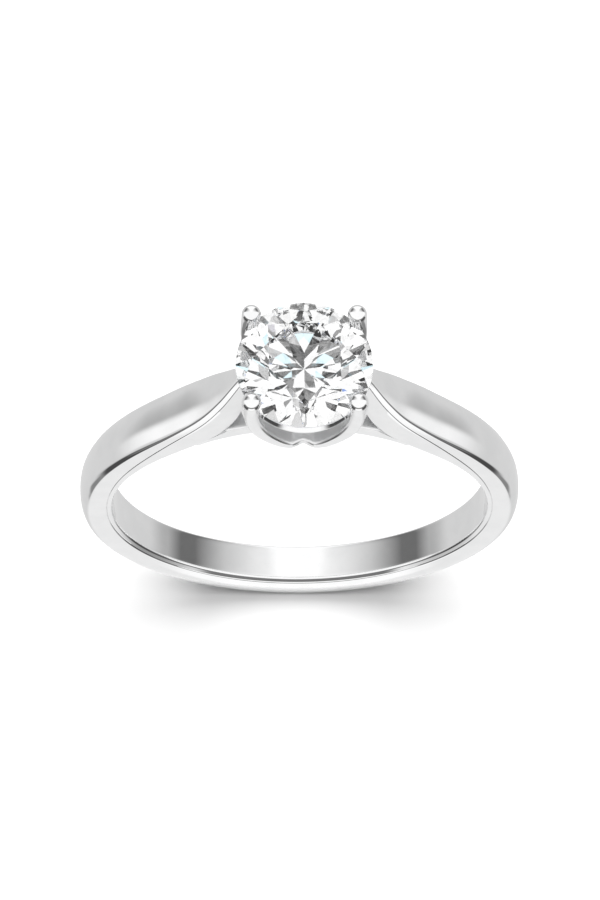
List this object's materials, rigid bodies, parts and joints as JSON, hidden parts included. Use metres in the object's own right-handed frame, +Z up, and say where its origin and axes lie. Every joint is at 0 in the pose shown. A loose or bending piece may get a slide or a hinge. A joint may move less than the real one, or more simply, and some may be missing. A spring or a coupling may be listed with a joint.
{
  "type": "engagement ring",
  "caption": "Solitaire ring: a rounded, tapering hoop rises in cathedral shoulders to a round brilliant-cut stone, held by claws that sweep down to meet over a bridge.",
  "frame": {"origin": "centre of the finger hole, on its axis and midway between the two side faces of the hoop", "axes": "+Z runs up through the middle of the stone, Y runs along the finger hole's axis with the front of the ring facing -Y, and +X is the viewer's right"},
  "size_m": [0.0202, 0.006, 0.0246],
  "materials": {
    "white_gold": "mirror polished white gold with a rhodium plate",
    "diamond": "polished flat facets, colourless"
  },
  "bodies": {
    "root": {"shank": "white_gold", "shoulder_left": "white_gold", "shoulder_right": "white_gold", "bridge": "white_gold", "bearer_ring": "white_gold", "claw_front_left": "white_gold", "claw_front_right": "white_gold", "claw_back_left": "white_gold", "claw_back_right": "white_gold", "diamond": "diamond"}
  },
  "joints": []
}
